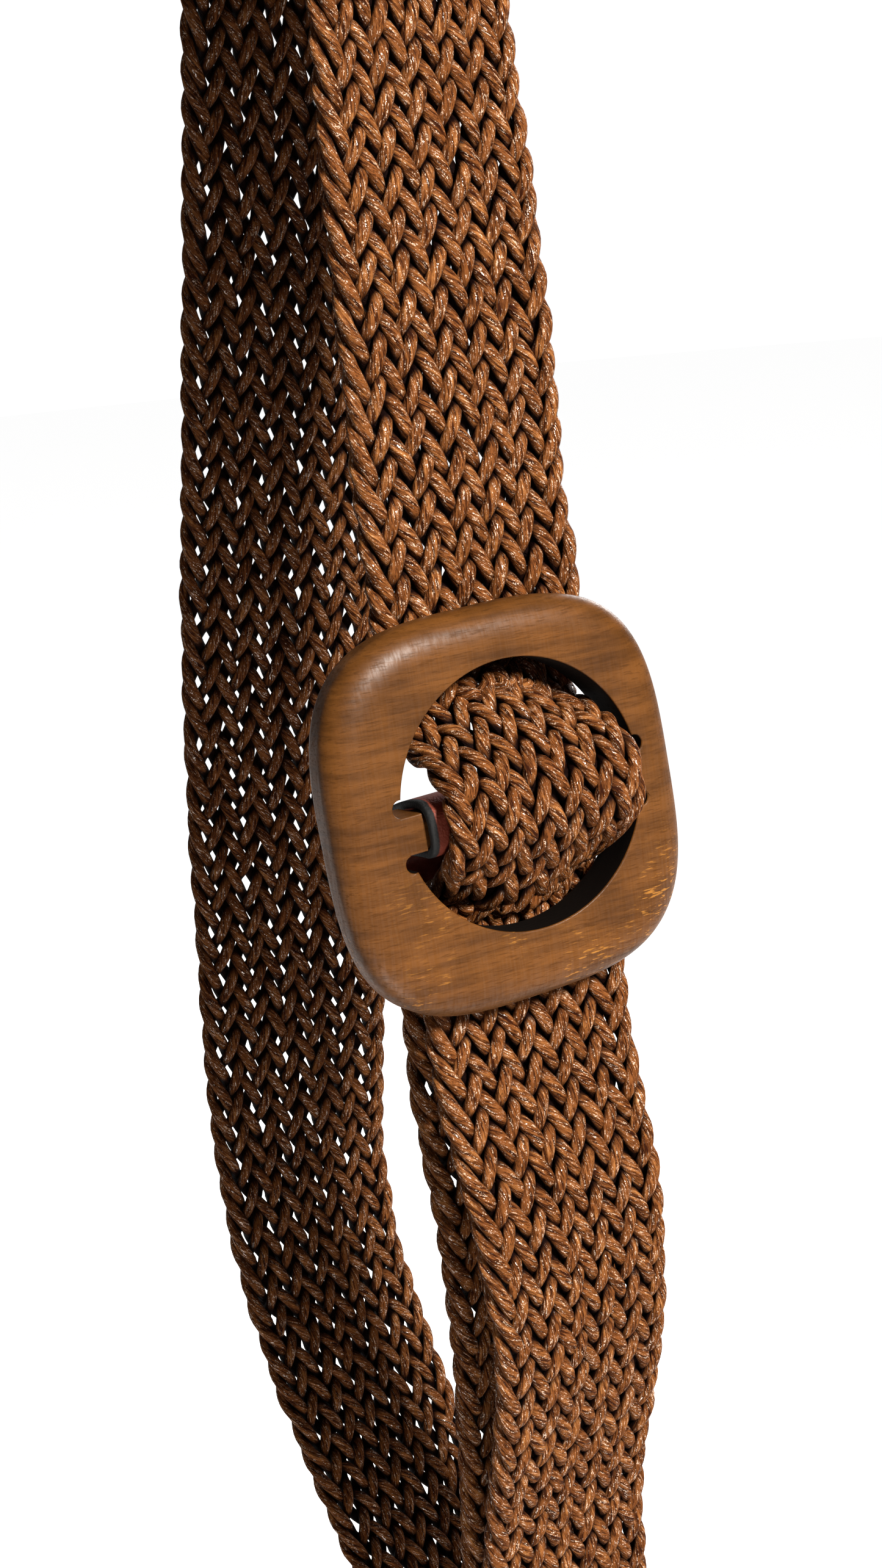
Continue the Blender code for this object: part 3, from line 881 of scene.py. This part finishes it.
def tab_profile():
    """The leather's middle line round the bar, from the inner ply's end to the outer ply's."""
    offset = half_strap + clearance + half_leather
    inner = end_layer + offset
    outer = end_layer - offset
    skin = clearance + half_leather
    front = half_buckle + skin
    back = half_buckle - bar_depth - skin
    side = bar_height / 2 + skin
    bend = bar_round + skin
    low = end_stop + end_setback
    drop = -side - end_start
    points = [(low, inner), ((low + end_start) / 2, inner)]
    points += [(end_start + up * drop, inner + out * drop) for up, out in rise_rows]
    points += [(-side - under_tuck * drop, back - under_sag * bend), (-side, (front + back) / 2)]
    turn = np.linspace(-math.pi / 2, 0.0, 5)
    lower_corner = [(-side + bend + bend * math.sin(a), front - bend + bend * math.cos(a))
                    for a in turn]
    points += lower_corner + [(-up, out) for up, out in reversed(lower_corner)]
    points += [(side, (front + back) / 2), (side - behind_sag * bend, back - under_sag * bend)]
    points += [(0.0, (back - bend + outer) / 2 - behind_sag * bend)]
    points += [(end_start + fold_depth, outer + outer_ease)]
    points += [(end_start - fold_depth, outer), ((low + end_start) / 2, outer), (low, outer)]
    return np.array(points)


def make_tab(colours):
    """The tab: a thin rounded rectangle, the leather's width by its thickness, carried along
    the leather's middle line."""
    profile = tab_profile()
    line = smooth_through(np.column_stack([profile, np.zeros(len(profile))]), 6)[:, :2]
    along = np.gradient(line, axis=0)
    along /= np.linalg.norm(along, axis=1)[:, None]
    normal = np.stack([-along[:, 1], along[:, 0]], axis=1)
    flat = np.linspace(-1, 1, face_columns) * (tab_width / 2 - edge_round)
    edge = np.linspace(math.pi / 2, -math.pi / 2, 9)[1:-1]
    edge_side = tab_width / 2 - edge_round + edge_round * np.cos(edge)
    edge_rise = half_leather * np.sign(np.sin(edge)) * np.abs(np.sin(edge)) ** 0.6
    sides = np.concatenate([flat, edge_side, flat[::-1], -edge_side])
    rises = np.concatenate([np.full(face_columns, half_leather), edge_rise,
                            np.full(face_columns, -half_leather), -edge_rise])
    up = line[:, 0][:, None] + normal[:, 0][:, None] * rises
    out = line[:, 1][:, None] + normal[:, 1][:, None] * rises
    points = np.stack([np.broadcast_to(opening_side + sides, up.shape), up, out], axis=-1)
    rings, count = up.shape
    faces = tube_faces(1, rings, count)
    quads = np.array(faces[:-2])
    run = np.concatenate(([0.0], np.cumsum(np.linalg.norm(np.diff(line, axis=0), axis=1))))
    across = np.tile(sides, rings)
    length = np.repeat(run, count)
    places = np.stack([across[quads], length[quads]], axis=-1).reshape(-1, 2)
    ends = np.stack([across[np.array(faces[-2:])], length[np.array(faces[-2:])]], axis=-1)
    flat_points = points.reshape(-1, 3)
    turned = outward_faces(flat_points, faces)
    places = places.reshape(len(quads), 4, 2)
    ends = ends.reshape(2, count, 2)
    if turned is not faces:
        places = places[:, ::-1]
        ends = ends[:, ::-1]
    places = np.concatenate([places.reshape(-1, 2), ends.reshape(-1, 2)])
    piece = add_piece("folded_tab", from_buckle(flat_points), turned, oxblood_leather(colours),
                      "strip", places)
    piece.data.set_sharp_from_angle(angle=math.radians(60))
    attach(piece, "root")
    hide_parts("leather_tab")


def add_camera():
    """The camera, turned from its azimuth, elevation and roll."""
    azimuth, elevation = camera_azimuth, camera_elevation
    back = np.array((math.sin(azimuth) * math.cos(elevation),
                     -math.cos(azimuth) * math.cos(elevation), math.sin(elevation)))
    right = np.array((math.cos(azimuth), math.sin(azimuth), 0.0))
    up = np.cross(back, right)
    cosine = math.cos(camera_roll)
    sine = math.sin(camera_roll)
    image_right = right * cosine + up * sine
    image_up = up * cosine - right * sine
    data = bpy.data.cameras.new("camera")
    data.sensor_width = camera_sensor
    data.lens = camera_lens
    data.clip_start = 0.01
    data.clip_end = 20.0
    camera = bpy.data.objects.new("camera", data)
    bpy.context.collection.objects.link(camera)
    rows = [[image_right[i], image_up[i], back[i], camera_place[i]] for i in range(3)]
    camera.matrix_world = Matrix(rows + [[0.0, 0.0, 0.0, 1.0]])
    bpy.context.scene.camera = camera


def add_area(name, place, aim, size, power, colour):
    """A square soft light at a place, turned to face its aim."""
    data = bpy.data.lights.new(name, "AREA")
    data.shape = "SQUARE"
    data.size = size
    data.energy = power
    data.color = colour
    light = bpy.data.objects.new(name, data)
    bpy.context.collection.objects.link(light)
    back = np.array(place) - np.array(aim)
    back /= np.linalg.norm(back)
    right = np.cross((0.0, 0.0, 1.0), back)
    right /= np.linalg.norm(right)
    up = np.cross(back, right)
    rows = [[right[i], up[i], back[i], place[i]] for i in range(3)]
    light.matrix_world = Matrix(rows + [[0.0, 0.0, 0.0, 1.0]])


def add_floor(drop):
    """A wide flat disc below the belt, near white all over."""
    turn = np.arange(floor_sides) * 2 * math.pi / floor_sides
    points = np.stack([floor_radius * np.cos(turn), floor_radius * np.sin(turn),
                       np.full(floor_sides, -drop)], axis=1)
    surface = Surface("pale_floor", roughness=0.9, Base_Color=(0.8, 0.8, 0.8, 1.0),
                      Emission_Color=(1.0, 1.0, 1.0, 1.0), Emission_Strength=0.9)
    piece = add_piece("pale_floor", points, [list(range(floor_sides))], surface.material)
    piece.visible_diffuse = False


def add_surround(fill):
    """A pale surround: bright behind the belt, dim in front of it, white where it is seen."""
    world = bpy.data.worlds.new("pale_surround")
    world.use_nodes = True
    tree = world.node_tree
    light = tree.nodes["Background"]
    place = tree.nodes.new("ShaderNodeTexCoord")
    parts = tree.nodes.new("ShaderNodeSeparateXYZ")
    tree.links.new(place.outputs["Generated"], parts.inputs[0])
    spread = tree.nodes.new("ShaderNodeMapRange")
    spread.inputs["From Min"].default_value = -0.2
    spread.inputs["From Max"].default_value = 0.7
    spread.inputs["To Min"].default_value = fill
    spread.inputs["To Max"].default_value = white_behind
    tree.links.new(parts.outputs["Y"], spread.inputs["Value"])
    tree.links.new(spread.outputs[0], light.inputs["Strength"])
    seen = tree.nodes.new("ShaderNodeBackground")
    seen.inputs["Strength"].default_value = seen_white
    seen.inputs["Color"].default_value = (1.0, 1.0, 1.0, 1.0)
    light.inputs["Color"].default_value = (1.0, 1.0, 1.0, 1.0)
    path = tree.nodes.new("ShaderNodeLightPath")
    mix = tree.nodes.new("ShaderNodeMixShader")
    tree.links.new(path.outputs["Is Camera Ray"], mix.inputs[0])
    tree.links.new(light.outputs[0], mix.inputs[1])
    tree.links.new(seen.outputs[0], mix.inputs[2])
    tree.links.new(mix.outputs[0], tree.nodes["World Output"].inputs["Surface"])
    bpy.context.scene.world = world


class BELT_OT_stage(bpy.types.Operator):
    """Sets the camera, the pale surround, the floor and the soft lights."""
    bl_idname = "belt.stage"
    bl_label = "Stage"

    def execute(self, context):
        settings = context.scene.belt_stage
        context.scene.view_settings.view_transform = "Standard"
        add_camera()
        add_surround(settings.fill)
        add_floor(settings.floor_drop)
        for name, place, aim, size, share, colour in lights:
            add_area(name, place, aim, size, settings.key_power * share, colour)
        return {"FINISHED"}


class BeltSettings:
    """What the strap's operator reads."""

    def __init__(self, scene):
        self.strap = scene.belt_strap
        self.stage = scene.belt_stage


class BELT_OT_strap(bpy.types.Operator):
    """Braids the strap from its cords."""
    bl_idname = "belt.strap"
    bl_label = "Braided strap"

    def execute(self, context):
        make_strap(BeltSettings(context.scene), context.scene.belt_finishes)
        return {"FINISHED"}


class BELT_OT_buckle(bpy.types.Operator):
    """Makes the wooden buckle: the ring and its bar."""
    bl_idname = "belt.buckle"
    bl_label = "Wooden buckle"

    def execute(self, context):
        make_buckle(context.scene.belt_finishes)
        return {"FINISHED"}


class BELT_OT_tab(bpy.types.Operator):
    """Folds the leather tab round the bar."""
    bl_idname = "belt.tab"
    bl_label = "Leather tab"

    def execute(self, context):
        make_tab(context.scene.belt_finishes)
        return {"FINISHED"}


class BELT_PT_panel(bpy.types.Panel):
    """Lists the belt's pieces and settings."""
    bl_idname = "BELT_PT_panel"
    bl_label = "Rope belt"
    bl_space_type = "VIEW_3D"
    bl_region_type = "UI"
    bl_category = "Rope belt"

    def draw(self, context):
        for group in (context.scene.belt_strap, context.scene.belt_finishes,
                      context.scene.belt_stage):
            for name in group.__annotations__:
                self.layout.prop(group, name)
        for operator in (BELT_OT_stage, BELT_OT_strap, BELT_OT_buckle, BELT_OT_tab):
            self.layout.operator(operator.bl_idname)


classes = (StrapSizes, Finishes, StageSettings, BELT_OT_stage, BELT_OT_strap, BELT_OT_buckle,
           BELT_OT_tab, BELT_PT_panel)


def register():
    for made in classes:
        bpy.utils.register_class(made)
    bpy.types.Scene.belt_strap = PointerProperty(type=StrapSizes)
    bpy.types.Scene.belt_finishes = PointerProperty(type=Finishes)
    bpy.types.Scene.belt_stage = PointerProperty(type=StageSettings)


def unregister():
    del bpy.types.Scene.belt_stage
    del bpy.types.Scene.belt_finishes
    del bpy.types.Scene.belt_strap
    for made in reversed(classes):
        bpy.utils.unregister_class(made)


def main():
    register()
    bpy.ops.belt.stage()
    bpy.ops.belt.strap()
    bpy.ops.belt.buckle()
    bpy.ops.belt.tab()


if __name__ == "__main__":
    main()
